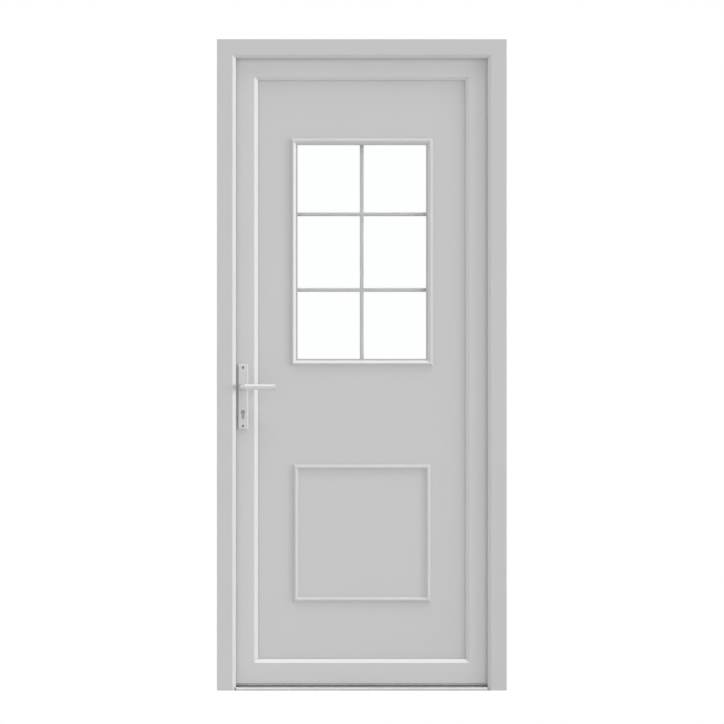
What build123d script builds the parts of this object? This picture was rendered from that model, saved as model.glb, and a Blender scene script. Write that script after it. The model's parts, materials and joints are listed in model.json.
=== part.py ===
"""PVC front door: one inward-opening leaf in its frame, with glazing, lever set, lock and hinges.

Millimetres, +Z up, +Y towards the inside, +X to the right as seen from outside.
The origin is on the floor, in the middle of the frame's width and depth.
Cross-sections are drawn with u, the distance inward from the frame's outer edge, and y.
"""
import os

from build123d import *

os.makedirs("parts", exist_ok=True)

# Frame
frame_width = 970.0
frame_height = 2180.0
frame_depth = 70.0
frame_face = 52.0
frame_bevel = 12.0
frame_bevel_depth = 9.5
frame_base = 44.0
stop_depth = 19.0

# Leaf
leaf_depth = 70.0
leaf_face = 69.0
leaf_bevel = 13.0
leaf_bevel_depth = 10.5
leaf_lip = 14.0
flange_width = 18.0
leaf_floor_gap = 23.5
glazing_rebate = 19.0
groove_width = 16.0
groove_depth = 3.0
channel_width = 12.0
channel_depth = 12.0

# Gaps and seals
rebate_gap = 12.0
moving_gap = 5.0
seal_height = 2.0
seal_width = 5.0
running_gap = 0.3
pin_gap = 0.1
cutout_gap = 0.5
packer_gap = 3.0

# Infill panel and glazing
panel_thick = 28.0
bead_setback = 2.0
glass_width = 430.0
glass_height = 715.0
glass_drop = 712.5
glass_cover = 12.0
pane_thick = 4.0
spacer_width = 10.0
bar_width = 13.0
bar_thick = 8.0
bar_edge = 2.5
bar_pitch = 253.0
gasket_width = 5.0
gasket_height = 3.0
moulding_width = 19.0
moulding_crest = 8.5
moulding_height = 11.0
moulding_foot = 1.5
moulding_inner_foot = 4.0
square_side = 444.0
square_centre_z = 526.0
square_width = 18.0

# Lever set and lock
lever_z = 1016.5
plate_width = 36.0
plate_height = 220.0
plate_thick = 9.0
plate_drop = 33.5
plate_round = 5.0
plate_edge = 4.5
plate_screw_inset = 12.5
plate_well_radius = 4.0
plate_well_depth = 4.0
neck_radius = 9.5
neck_depth = 6.0
lever_reach = 110.0
lever_stand = 41.0
lever_link = 9.0
tip_edge = 2.0
spindle_side = 8.0
spindle_hold = 22.0
spindle_bore = 10.0
cylinder_drop = 85.0
cylinder_radius = 8.5
cylinder_tail = 10.0
cylinder_height = 33.0
cylinder_setback = 2.0
keyway_width = 2.6
keyway_height = 9.0
keyway_depth = 12.0
faceplate_margin = 100.0
latch_rise = 38.0
latch_height = 32.0
latch_proud = 2.5
bolt_height = 36.0
bolt_drop = 125.0
lower_bolt_z = 350.0
upper_bolt_drop = 480.0
strike_width = 24.0
strike_thick = 3.0
strike_margin = 30.0
strike_pocket = 14.0

# Hinges
hinge_inset = 300.0
hinge_axis_u = 22.0
hinge_axis_lift = 1.0
knuckle_radius = 11.0
pin_radius = 6.0
hinge_height = 110.0
leaf_knuckle_height = 44.0
knuckle_gap = 1.0
hinge_plate_thick = 5.0
frame_plate_width = 30.0
web_width = 14.0
leaf_plate_width = 46.0
hinge_plate_edge = 1.5

# Threshold
threshold_height = 16.5
threshold_nose = 11.0
threshold_nose_edge = 7.0
threshold_back = 13.0
ridge_y = 0.0
ridge_width = 12.0
tread_grooves = 4
tread_pitch = 5.0
tread_width = 1.6
tread_depth = 1.0

# Fixing holes through the jambs
fixing_radius = 5.0
fixing_y = 10.0
fixing_insets = [200.0, 760.0]

# Places that follow from the sizes above
half_width = frame_width / 2
outside_y = -frame_depth / 2
inside_y = frame_depth / 2
stop_edge = frame_face + frame_bevel
stop_y = outside_y + stop_depth
leaf_outer_y = stop_y + seal_height + moving_gap
leaf_inner_y = leaf_outer_y + leaf_depth
flange_y = inside_y + seal_height + moving_gap
leaf_edge = frame_base + rebate_gap
flange_tip = leaf_edge - flange_width
bevel_start = leaf_edge + leaf_face
lip_edge = bevel_start + leaf_bevel
lip_y = leaf_outer_y + leaf_lip
glazing_base = lip_edge - glazing_rebate
panel_outer_y = lip_y + seal_height
panel_inner_y = panel_outer_y + panel_thick
panel_edge = glazing_base + packer_gap
leaf_start_z = leaf_floor_gap - leaf_edge
groove_y = (leaf_outer_y + flange_y) / 2
axis_u = stop_edge + moving_gap + plate_width / 2 + 0.2
axis_x = axis_u - half_width
plate_z = lever_z - plate_drop
cylinder_z = lever_z - cylinder_drop
hinge_x = half_width - hinge_axis_u
hinge_y = leaf_inner_y + hinge_axis_lift
hinge_heights = {"bottom": hinge_inset, "middle": frame_height / 2, "top": frame_height - hinge_inset}
glass_centre_z = frame_height - glass_drop
upper_bolt_z = frame_height - upper_bolt_drop
fixing_heights = fixing_insets + [frame_height - inset for inset in fixing_insets]


def facing(y):
    """Plane of a front view at depth y: local x is X, local y is Z, and it faces outside."""
    return Plane(origin=(0, y, 0), x_dir=(1, 0, 0), z_dir=(0, -1, 0))


def side_plane(side, start_z):
    """Plane of one member's cross-section, at the corner where the member starts, and its length."""
    height = frame_height - start_z
    if side == "left":
        return Plane((-half_width, 0, start_z), (1, 0, 0), (0, 0, 1)), height
    if side == "top":
        return Plane((-half_width, 0, frame_height), (0, 0, -1), (1, 0, 0)), frame_width
    if side == "right":
        return Plane((half_width, 0, frame_height), (-1, 0, 0), (0, 0, -1)), height
    return Plane((half_width, 0, start_z), (0, 0, 1), (-1, 0, 0)), frame_width


def member(side, start_z, section, rounds, mitre_start=True, mitre_end=True):
    """One straight member with the given section, cut to 45 degrees at its mitred ends."""
    plane, length = side_plane(side, start_z)
    with BuildPart() as bar:
        with BuildSketch(plane):
            with BuildLine():
                FilletPolyline(*section, radius=rounds, close=True)
            make_face()
        extrude(amount=length)
        if mitre_start:
            cut = Plane(plane.origin, z_dir=plane.x_dir - plane.z_dir)
            split(bisect_by=cut, keep=Keep.BOTTOM)
        if mitre_end:
            cut = Plane(plane.origin + plane.z_dir * length, z_dir=plane.x_dir + plane.z_dir)
            split(bisect_by=cut, keep=Keep.BOTTOM)
    return bar


def save(piece, label):
    """Names a finished piece and writes it."""
    piece.part.label = label
    export_step(piece.part, f"parts/{label}.step")


# Frame head and jambs
frame_section = [
    (0, outside_y),
    (frame_face, outside_y),
    (stop_edge, outside_y + frame_bevel_depth),
    (stop_edge, stop_y),
    (frame_base, stop_y),
    (frame_base, inside_y),
    (0, inside_y),
]
frame_rounds = [1.0, 4.0, 2.0, 1.0, 0, 1.5, 1.0]

with BuildPart() as frame_head:
    add(member("top", 0, frame_section, frame_rounds).part)
save(frame_head, "frame_head")

latch_z = lever_z + latch_rise
bolt_z = lever_z - bolt_drop
strikes = {
    "main_strike_plate": [(latch_z, latch_height), (bolt_z, bolt_height)],
    "upper_strike_plate": [(upper_bolt_z, bolt_height)],
    "lower_strike_plate": [(lower_bolt_z, bolt_height)],
}
jamb_face = Plane((frame_base - half_width, groove_y, 0), (0, 1, 0), (1, 0, 0))

with BuildPart() as left_jamb:
    add(member("left", 0, frame_section, frame_rounds, mitre_start=False).part)
    with BuildSketch(Plane((-half_width, fixing_y, 0), (0, 1, 0), (1, 0, 0))):
        with Locations([(0, z) for z in fixing_heights]):
            Circle(fixing_radius)
    extrude(amount=frame_base, mode=Mode.SUBTRACT)
    with BuildSketch(jamb_face):
        for windows in strikes.values():
            with Locations([(0, z) for z, tall in windows]):
                Rectangle(channel_width, windows[0][1])
    extrude(amount=-strike_pocket, mode=Mode.SUBTRACT)
save(left_jamb, "left_jamb")

with BuildPart() as right_jamb:
    add(member("right", 0, frame_section, frame_rounds, mitre_end=False).part)
    with BuildSketch(Plane((half_width, fixing_y, 0), (0, 1, 0), (1, 0, 0))):
        with Locations([(0, z) for z in fixing_heights]):
            Circle(fixing_radius)
    extrude(amount=-frame_base, mode=Mode.SUBTRACT)
save(right_jamb, "right_jamb")

for label, windows in strikes.items():
    low = min(z - tall / 2 for z, tall in windows) - strike_margin
    high = max(z + tall / 2 for z, tall in windows) + strike_margin
    with BuildPart() as strike:
        with BuildSketch(jamb_face):
            with Locations((0, (low + high) / 2)):
                RectangleRounded(strike_width, high - low, strike_width / 4)
            for z, tall in windows:
                with Locations((0, z)):
                    Rectangle(channel_width, tall, mode=Mode.SUBTRACT)
        extrude(amount=strike_thick)
    save(strike, label)

# Gasket along the stop of the frame
with BuildPart() as frame_gasket:
    with BuildSketch(facing(stop_y)):
        edge = stop_edge - 1
        with Locations((0, (frame_height - edge) / 2)):
            Rectangle(frame_width - 2 * (edge - seal_width), frame_height - edge + 2 * seal_width)
            Rectangle(frame_width - 2 * edge, frame_height - edge, mode=Mode.SUBTRACT)
        with Locations((0, threshold_height - frame_height / 2)):
            Rectangle(frame_width, frame_height, mode=Mode.SUBTRACT)
    extrude(amount=-seal_height)
save(frame_gasket, "frame_gasket")

# Threshold, notched around the stops of the jambs
threshold_section = [
    (outside_y, 0),
    (outside_y, threshold_nose - threshold_nose_edge),
    (outside_y + threshold_nose_edge, threshold_nose),
    (ridge_y, threshold_nose),
    (ridge_y + 2, threshold_height),
    (ridge_y + ridge_width, threshold_height),
    (ridge_y + ridge_width + 2, threshold_back),
    (inside_y, threshold_back),
    (inside_y, 0),
]
threshold_rounds = [0, 2.0, 2.0, 1.0, 1.0, 1.0, 1.0, 2.0, 0]
threshold_half = half_width - frame_base

with BuildPart() as threshold:
    with BuildSketch(Plane((-threshold_half, 0, 0), (0, 1, 0), (1, 0, 0))):
        with BuildLine():
            FilletPolyline(*threshold_section, radius=threshold_rounds, close=True)
        make_face()
    extrude(amount=2 * threshold_half)
    with BuildSketch(Plane.XY):
        for end in (-1, 1):
            notch_x = end * (threshold_half + half_width - stop_edge) / 2
            with Locations((notch_x, outside_y + stop_depth / 2)):
                Rectangle(stop_edge - frame_base, stop_depth)
    extrude(amount=threshold_height, mode=Mode.SUBTRACT)
    with BuildSketch(Plane.XY.offset(threshold_nose)):
        with Locations((0, (outside_y + threshold_nose_edge + ridge_y) / 2)):
            with GridLocations(0, tread_pitch, 1, tread_grooves):
                Rectangle(frame_width, tread_width)
    extrude(amount=-tread_depth, mode=Mode.SUBTRACT)
save(threshold, "threshold")

# Leaf stiles and rails, one section with an outer bevel, an inner flange and a hardware groove
leaf_section = [
    (leaf_edge, leaf_outer_y),
    (bevel_start, leaf_outer_y),
    (lip_edge, leaf_outer_y + leaf_bevel_depth),
    (lip_edge, lip_y),
    (glazing_base, lip_y),
    (glazing_base, leaf_inner_y),
    (flange_tip, leaf_inner_y),
    (flange_tip, flange_y),
    (leaf_edge, flange_y),
    (leaf_edge, groove_y + groove_width / 2),
    (leaf_edge + groove_depth, groove_y + groove_width / 2),
    (leaf_edge + groove_depth, groove_y + channel_width / 2),
    (leaf_edge + channel_depth, groove_y + channel_width / 2),
    (leaf_edge + channel_depth, groove_y - channel_width / 2),
    (leaf_edge + groove_depth, groove_y - channel_width / 2),
    (leaf_edge + groove_depth, groove_y - groove_width / 2),
    (leaf_edge, groove_y - groove_width / 2),
]
leaf_rounds = [1.5, 4.0, 1.5, 0, 0, 1.0, 4.0, 1.0, 0, 0, 0, 0, 0, 0, 0, 0, 0]

with BuildPart() as lock_stile:
    add(member("left", leaf_start_z, leaf_section, leaf_rounds).part)
    with BuildSketch(facing(leaf_inner_y)):
        with Locations((axis_x, lever_z)):
            Circle(spindle_bore)
        with Locations((axis_x, cylinder_z)):
            Circle(cylinder_radius + cutout_gap)
            SlotOverall(
                cylinder_height - cylinder_radius + cutout_gap,
                cylinder_tail + 2 * cutout_gap,
                rotation=90,
                align=(Align.MAX, Align.CENTER),
            )
    extrude(amount=leaf_depth, mode=Mode.SUBTRACT)
save(lock_stile, "lock_stile")

for side, label in (("top", "top_rail"), ("right", "hinge_stile"), ("bottom", "bottom_rail")):
    with BuildPart() as leaf_member:
        add(member(side, leaf_start_z, leaf_section, leaf_rounds).part)
    save(leaf_member, label)

# Gasket on the flange, and the seal under the bottom rail
leaf_middle_z = (frame_height + leaf_start_z) / 2
leaf_tall = frame_height - leaf_start_z
with BuildPart() as leaf_gasket:
    with BuildSketch(facing(flange_y)):
        with Locations((0, leaf_middle_z)):
            outer = flange_tip + 1
            inner = outer + seal_width
            Rectangle(frame_width - 2 * outer, leaf_tall - 2 * outer)
            Rectangle(frame_width - 2 * inner, leaf_tall - 2 * inner, mode=Mode.SUBTRACT)
    extrude(amount=seal_height)
save(leaf_gasket, "leaf_gasket")

with BuildPart() as bottom_seal:
    with BuildSketch(Plane.XY.offset(leaf_floor_gap)):
        with Locations((0, (leaf_outer_y + groove_y - groove_width / 2) / 2)):
            Rectangle(frame_width - 2 * leaf_edge, groove_y - groove_width / 2 - leaf_outer_y - 4)
    extrude(amount=-seal_height)
save(bottom_seal, "bottom_seal")

# Infill panel with its gasket and the beads that hold it from inside
with BuildPart() as door_panel:
    with BuildSketch(facing(panel_inner_y)):
        with Locations((0, leaf_middle_z)):
            Rectangle(frame_width - 2 * panel_edge, leaf_tall - 2 * panel_edge)
        with Locations((0, glass_centre_z)):
            Rectangle(
                glass_width + 2 * (glass_cover + packer_gap),
                glass_height + 2 * (glass_cover + packer_gap),
                mode=Mode.SUBTRACT,
            )
    extrude(amount=panel_thick)
save(door_panel, "door_panel")

with BuildPart() as panel_gasket:
    with BuildSketch(facing(panel_outer_y)):
        with Locations((0, leaf_middle_z)):
            outer = panel_edge + 2
            inner = lip_edge - 1
            Rectangle(frame_width - 2 * outer, leaf_tall - 2 * outer)
            Rectangle(frame_width - 2 * inner, leaf_tall - 2 * inner, mode=Mode.SUBTRACT)
    extrude(amount=seal_height)
save(panel_gasket, "panel_gasket")

bead_section = [
    (glazing_base, panel_inner_y),
    (lip_edge, panel_inner_y),
    (lip_edge, panel_inner_y + 5),
    (lip_edge - 10, leaf_inner_y - bead_setback),
    (glazing_base, leaf_inner_y - bead_setback),
]
bead_rounds = [0, 0.8, 2.0, 4.0, 0]

for side in ("left", "top", "right", "bottom"):
    with BuildPart() as bead:
        add(member(side, leaf_start_z, bead_section, bead_rounds).part)
    save(bead, f"{side}_bead")

# Double glazing with bars between the panes
unit_width = glass_width + 2 * glass_cover
unit_height = glass_height + 2 * glass_cover
cavity_outer_y = panel_outer_y + pane_thick
cavity_inner_y = panel_inner_y - pane_thick
cavity = cavity_inner_y - cavity_outer_y

for label, back_y in (("outer_pane", cavity_outer_y), ("inner_pane", panel_inner_y)):
    with BuildPart() as pane:
        with BuildSketch(facing(back_y)):
            with Locations((0, glass_centre_z)):
                Rectangle(unit_width, unit_height)
        extrude(amount=pane_thick)
    save(pane, label)

clear_width = unit_width - 2 * spacer_width
clear_height = unit_height - 2 * spacer_width

with BuildPart() as glass_spacer:
    with BuildSketch(facing(cavity_inner_y)):
        with Locations((0, glass_centre_z)):
            Rectangle(unit_width, unit_height)
            Rectangle(clear_width, clear_height, mode=Mode.SUBTRACT)
    extrude(amount=cavity)
save(glass_spacer, "glass_spacer")

with BuildPart() as glazing_bars:
    with BuildSketch(facing((cavity_outer_y + cavity_inner_y + bar_thick) / 2)):
        with Locations((0, glass_centre_z)):
            Rectangle(bar_width, clear_height)
        with Locations((0, glass_centre_z - bar_pitch / 2), (0, glass_centre_z + bar_pitch / 2)):
            Rectangle(clear_width, bar_width)
    extrude(amount=bar_thick)
    bar_faces = glazing_bars.faces().filter_by(Axis.Y)
    chamfer(bar_faces.edges().filter_by(lambda edge: edge.length > bar_width + 1), bar_edge)
save(glazing_bars, "glazing_bars")

# Mouldings on both faces of the panel, swept round their rectangle with mitred corners
gasket_edge = moulding_width + gasket_width
window_half_x = glass_width / 2 + gasket_edge
window_half_z = glass_height / 2 + gasket_edge
square_half = square_side / 2 + square_width / 2

window_profile = [
    (0, 0),
    (0, moulding_foot),
    (moulding_crest, moulding_height),
    (moulding_width, moulding_inner_foot),
    (moulding_width, 0),
]
square_profile = [
    (0, 0),
    (0, moulding_foot),
    (square_width / 2, moulding_height),
    (square_width, moulding_foot),
    (square_width, 0),
]
profile_rounds = [0, 1.0, 3.0, 1.0, 0]

for place, face_y, outward in (("outer", panel_outer_y, -1), ("inner", panel_inner_y, 1)):
    rings = (
        ("glazing_moulding", window_profile, window_half_x, window_half_z, glass_centre_z),
        ("lower_moulding", square_profile, square_half, square_half, square_centre_z),
    )
    for label, profile, half_x, half_z, centre_z in rings:
        with BuildPart() as moulding:
            with BuildLine(facing(face_y)):
                Polyline(
                    (-half_x, centre_z),
                    (-half_x, centre_z + half_z),
                    (half_x, centre_z + half_z),
                    (half_x, centre_z - half_z),
                    (-half_x, centre_z - half_z),
                    close=True,
                )
            with BuildSketch(Plane((-half_x, face_y, centre_z), (1, 0, 0), (0, 0, outward))):
                with BuildLine():
                    FilletPolyline(*profile, radius=profile_rounds, close=True)
                make_face()
            sweep(transition=Transition.RIGHT)
        save(moulding, f"{place}_{label}")
    with BuildPart() as glazing_gasket:
        with BuildSketch(facing(face_y)):
            with Locations((0, glass_centre_z)):
                Rectangle(glass_width + 2 * gasket_width, glass_height + 2 * gasket_width)
                Rectangle(glass_width, glass_height, mode=Mode.SUBTRACT)
        extrude(amount=-outward * gasket_height)
    save(glazing_gasket, f"{place}_glazing_gasket")

# Handle plates, levers and spindle
for place, face_y, outward in (("outer", leaf_outer_y, -1), ("inner", leaf_inner_y, 1)):
    with BuildPart() as handle_plate:
        with BuildSketch(facing(face_y)):
            with Locations((axis_x, plate_z)):
                RectangleRounded(plate_width, plate_height, plate_round)
        extrude(amount=-outward * plate_thick)
        front = handle_plate.faces().sort_by(Axis.Y)[0 if outward < 0 else -1]
        chamfer(front.edges(), plate_edge)
        with BuildSketch(facing(face_y)):
            with Locations((axis_x, lever_z)):
                Circle(neck_radius + running_gap)
            with Locations((axis_x, cylinder_z)):
                Circle(cylinder_radius + cutout_gap)
                SlotOverall(
                    cylinder_height - cylinder_radius + cutout_gap,
                    cylinder_tail + 2 * cutout_gap,
                    rotation=90,
                    align=(Align.MAX, Align.CENTER),
                )
        extrude(amount=-outward * plate_thick, mode=Mode.SUBTRACT)
        with BuildSketch(facing(face_y + outward * plate_thick)):
            with Locations((axis_x, plate_z)):
                with GridLocations(0, plate_height - 2 * plate_screw_inset, 1, 2):
                    Circle(plate_well_radius)
        extrude(amount=outward * plate_well_depth, mode=Mode.SUBTRACT)
    save(handle_plate, f"{place}_handle_plate")

    neck_y = face_y + outward * (plate_thick - neck_depth)
    bar_y = face_y + outward * lever_stand
    with BuildPart() as lever:
        with BuildLine():
            Polyline(
                (axis_x, neck_y, lever_z),
                (axis_x, bar_y - outward * lever_link, lever_z),
                (axis_x + lever_link, bar_y, lever_z),
                (axis_x + lever_reach, bar_y, lever_z),
            )
        with BuildSketch(Plane((axis_x, neck_y, lever_z), (0, 0, 1), (0, outward, 0))):
            Circle(neck_radius)
        sweep(transition=Transition.RIGHT)
        tip = lever.faces().sort_by(Axis.X)[-1]
        chamfer(tip.edges(), tip_edge)
        with BuildSketch(Plane((axis_x, neck_y, lever_z), (0, 0, 1), (0, outward, 0))):
            Rectangle(spindle_side + 2 * pin_gap, spindle_side + 2 * pin_gap)
        extrude(amount=spindle_hold, mode=Mode.SUBTRACT)
    save(lever, f"{place}_lever")

neck_inset = plate_thick - neck_depth
spindle_start = leaf_outer_y - neck_inset - spindle_hold
spindle_end = leaf_inner_y + neck_inset + spindle_hold
with BuildPart() as lever_spindle:
    with BuildSketch(facing(spindle_end)):
        with Locations((axis_x, lever_z)):
            Rectangle(spindle_side, spindle_side)
    extrude(amount=spindle_end - spindle_start)
save(lever_spindle, "lever_spindle")

# Lock cylinder, faceplate, latch and bolts
cylinder_start = leaf_outer_y - plate_thick + cylinder_setback
cylinder_end = leaf_inner_y + plate_thick - cylinder_setback
with BuildPart() as lock_cylinder:
    with BuildSketch(facing(cylinder_end)):
        with Locations((axis_x, cylinder_z)):
            Circle(cylinder_radius)
            SlotOverall(
                cylinder_height - cylinder_radius,
                cylinder_tail,
                rotation=90,
                align=(Align.MAX, Align.CENTER),
            )
    extrude(amount=cylinder_end - cylinder_start)
    for start_y, depth in ((cylinder_start, -keyway_depth), (cylinder_end, keyway_depth)):
        with BuildSketch(facing(start_y)):
            with Locations((axis_x, cylinder_z)):
                Rectangle(keyway_width, keyway_height)
        extrude(amount=depth, mode=Mode.SUBTRACT)
save(lock_cylinder, "lock_cylinder")

edge_face = Plane((leaf_edge - half_width, groove_y, 0), (0, 1, 0), (1, 0, 0))
bolts = [(bolt_z, bolt_height), (upper_bolt_z, bolt_height), (lower_bolt_z, bolt_height)]
with BuildPart() as lock_faceplate:
    with BuildSketch(edge_face):
        with Locations((0, (lower_bolt_z + upper_bolt_z) / 2)):
            Rectangle(groove_width, upper_bolt_z - lower_bolt_z + 2 * faceplate_margin)
        for z, tall in bolts + [(latch_z, latch_height)]:
            with Locations((0, z)):
                Rectangle(channel_width, tall, mode=Mode.SUBTRACT)
    extrude(amount=groove_depth)
save(lock_faceplate, "lock_faceplate")

with BuildPart() as lock_bolts:
    with BuildSketch(edge_face):
        with Locations([(0, z) for z, tall in bolts]):
            Rectangle(channel_width - 2 * running_gap, bolt_height - 2 * running_gap)
    extrude(amount=channel_depth)
save(lock_bolts, "lock_bolts")

with BuildPart() as latch_bolt:
    with BuildSketch(edge_face.offset(-latch_proud)):
        with Locations((0, latch_z)):
            Rectangle(channel_width - 2 * running_gap, latch_height - 2 * running_gap)
    extrude(amount=channel_depth + latch_proud)
    edges = latch_bolt.edges().filter_by(Axis.Z).sort_by(Axis.X)[:2].sort_by(Axis.Y)
    chamfer(edges[-1], latch_proud - running_gap)
save(latch_bolt, "latch_bolt")

# Hinges: frame half with the pin and two knuckles, leaf half with the knuckle between
knuckle_end = leaf_knuckle_height / 2 + knuckle_gap
frame_knuckle_height = hinge_height / 2 - knuckle_end

for place, centre_z in hinge_heights.items():
    low_z = centre_z - hinge_height / 2
    knuckle_starts = (low_z, centre_z + knuckle_end)
    with BuildPart() as frame_hinge:
        with BuildSketch(Plane.XY.offset(low_z)):
            with Locations((hinge_x, inside_y + hinge_plate_thick / 2)):
                Rectangle(frame_plate_width, hinge_plate_thick)
        extrude(amount=hinge_height)
        for start_z in knuckle_starts:
            with BuildSketch(Plane.XY.offset(start_z)):
                with Locations((hinge_x, (inside_y + hinge_y) / 2)):
                    Rectangle(web_width, hinge_y - inside_y)
                with Locations((hinge_x, hinge_y)):
                    Circle(knuckle_radius)
            extrude(amount=frame_knuckle_height)
        with BuildSketch(Plane.XY.offset(low_z)):
            with Locations((hinge_x, hinge_y)):
                Circle(pin_radius)
        extrude(amount=hinge_height)
    save(frame_hinge, f"{place}_hinge_frame_half")

    plate_near_x = half_width - flange_tip - 2
    with BuildPart() as leaf_hinge:
        with BuildSketch(Plane.XY.offset(low_z)):
            with Locations((plate_near_x - leaf_plate_width / 2, leaf_inner_y + hinge_plate_thick / 2)):
                Rectangle(leaf_plate_width, hinge_plate_thick)
        extrude(amount=hinge_height)
        plate_front = leaf_hinge.faces().sort_by(Axis.Y)[-1]
        chamfer(plate_front.edges().sort_by(Axis.X)[:-1], hinge_plate_edge)
        with BuildSketch(Plane.XY.offset(centre_z - leaf_knuckle_height / 2)):
            with Locations((hinge_x, hinge_y)):
                Circle(knuckle_radius)
            with Locations(((hinge_x + plate_near_x) / 2, leaf_inner_y + hinge_plate_thick / 2)):
                Rectangle(hinge_x - plate_near_x, hinge_plate_thick)
            with Locations((hinge_x, hinge_y)):
                Circle(pin_radius + pin_gap, mode=Mode.SUBTRACT)
        extrude(amount=leaf_knuckle_height)
    save(leaf_hinge, f"{place}_hinge_leaf_half")
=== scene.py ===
"""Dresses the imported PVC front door: finishes, screws, bristles, vents and collars, and the studio.

Metres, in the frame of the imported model: +X right as seen from outside, +Y inside, +Z up.
"""
import json
import math

import bpy
from bpy.props import FloatProperty, FloatVectorProperty, IntProperty, PointerProperty
from mathutils import Matrix, Vector


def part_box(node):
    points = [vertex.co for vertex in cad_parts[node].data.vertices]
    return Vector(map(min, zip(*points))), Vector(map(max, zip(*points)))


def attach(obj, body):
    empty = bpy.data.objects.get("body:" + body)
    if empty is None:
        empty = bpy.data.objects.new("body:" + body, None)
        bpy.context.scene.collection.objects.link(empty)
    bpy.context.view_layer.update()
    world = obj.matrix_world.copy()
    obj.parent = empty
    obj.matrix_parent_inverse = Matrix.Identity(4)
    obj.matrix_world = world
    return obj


bl_info = {
    "name": "PVC Front Door",
    "version": (1, 0, 0),
    "blender": (4, 5, 0),
    "location": "View3D > Sidebar > Front Door",
    "description": "Finishes, small fittings and studio for the front door",
    "category": "Object",
}

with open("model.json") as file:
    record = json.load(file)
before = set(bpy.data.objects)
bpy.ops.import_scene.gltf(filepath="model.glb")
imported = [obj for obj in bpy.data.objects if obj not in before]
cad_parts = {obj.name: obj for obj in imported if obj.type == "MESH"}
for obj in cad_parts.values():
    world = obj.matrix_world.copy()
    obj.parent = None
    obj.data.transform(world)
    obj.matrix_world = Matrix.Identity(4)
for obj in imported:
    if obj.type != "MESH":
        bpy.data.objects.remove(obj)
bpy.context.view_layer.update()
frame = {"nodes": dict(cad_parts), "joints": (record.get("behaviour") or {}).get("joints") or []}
nodes = frame["nodes"]

OUTSIDE = Vector((0, -1, 0))
INSIDE = Vector((0, 1, 0))
UP = Vector((0, 0, 1))
DOWN = Vector((0, 0, -1))
LEFT = Vector((-1, 0, 0))
RIGHT = Vector((1, 0, 0))

HINGES = ("bottom", "middle", "top")
FRAME_PIECES = ("frame_head", "left_jamb", "right_jamb")
LEAF_PIECES = (
    "lock_stile", "hinge_stile", "top_rail", "bottom_rail",
    "left_bead", "top_bead", "right_bead", "bottom_bead",
)
SKIN_PIECES = (
    "door_panel", "outer_glazing_moulding", "inner_glazing_moulding",
    "outer_lower_moulding", "inner_lower_moulding",
)
RUBBER_PIECES = (
    "frame_gasket", "leaf_gasket", "panel_gasket", "bottom_seal",
    "outer_glazing_gasket", "inner_glazing_gasket",
)
HANDLE_PIECES = ("outer_lever", "inner_lever", "outer_handle_plate", "inner_handle_plate")
HINGE_PIECES = tuple(f"{place}_hinge_{half}_half" for place in HINGES for half in ("frame", "leaf"))
STRIKE_PLATES = ("main_strike_plate", "upper_strike_plate", "lower_strike_plate")
LOCK_PIECES = ("lock_faceplate", "lock_bolts", "latch_bolt", "lever_spindle")
HANDLE_FACES = (("outer_handle_plate", OUTSIDE), ("inner_handle_plate", INSIDE))

# Numbers of sockets that share their name: the colours of Mix, and the numbers of Random Value
MIX_A, MIX_B, MIX_RESULT = 6, 7, 2
RANDOM_MIN, RANDOM_MAX, RANDOM_RESULT = 2, 3, 1

NOISE_MEAN = 0.5


# Sizes and colours

def colour(name, description, value):
    """A colour that the sidebar shows as a swatch."""
    return FloatVectorProperty(
        name=name, description=description, subtype="COLOR", size=3, min=0, max=1, default=value
    )


def length(name, description, value):
    """A length in metres."""
    return FloatProperty(
        name=name, description=description, unit="LENGTH", precision=5, default=value
    )


def strength(name, description, value):
    """The strength of an even light."""
    return FloatProperty(name=name, description=description, min=0, default=value)


class DoorFinishes(bpy.types.PropertyGroup):
    """Colours of the door's finishes, and how soft its edges look."""

    frame_pvc: colour("Frame PVC", "Head and jambs", (0.550, 0.550, 0.550))
    leaf_pvc: colour("Leaf PVC", "Stiles, rails and beads", (0.590, 0.590, 0.590))
    skin: colour("Panel skin", "Infill panel and its mouldings", (0.570, 0.570, 0.570))
    lacquer: colour("Handle lacquer", "Levers, plates and hinges", (0.600, 0.600, 0.600))
    bars: colour("Bar paint", "Bars between the panes", (0.330, 0.330, 0.340))
    rubber: colour("Rubber", "Gaskets and seals", (0.480, 0.480, 0.485))
    glass: colour("Glass", "Tint of the panes", (0.992, 0.998, 0.996))
    aluminium: colour("Aluminium", "Threshold", (0.380, 0.380, 0.385))
    spacer: colour("Spacer", "Spacer between the panes", (0.560, 0.560, 0.575))
    # Painted shade: near-black lenses stand in for the shade inside the spacer's holes
    vent_shade: colour("Vent holes", "Dark holes in the spacer", (0.020, 0.020, 0.020))
    steel: colour("Zinc steel", "Strikes, faceplate and bolts", (0.520, 0.520, 0.515))
    nickel: colour("Nickel", "Lock cylinder", (0.330, 0.330, 0.328))
    # Partly painted shade: the screw steel is dark so the heads also stand in for the shade of the
    # screw wells
    screw: colour("Screw steel", "Screw heads", (0.200, 0.200, 0.205))
    fibre: colour("Brush fibre", "Bristles under the leaf", (0.900, 0.900, 0.900))
    edge_radius: length("Edge softness", "Radius that edges catch light with", 0.0007)
    screw_edge: length("Screw edge softness", "The same on screw heads", 0.0002)
    fine_edge: length("Fine edge softness", "The same on bristles and vent holes", 0.0001)


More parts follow.
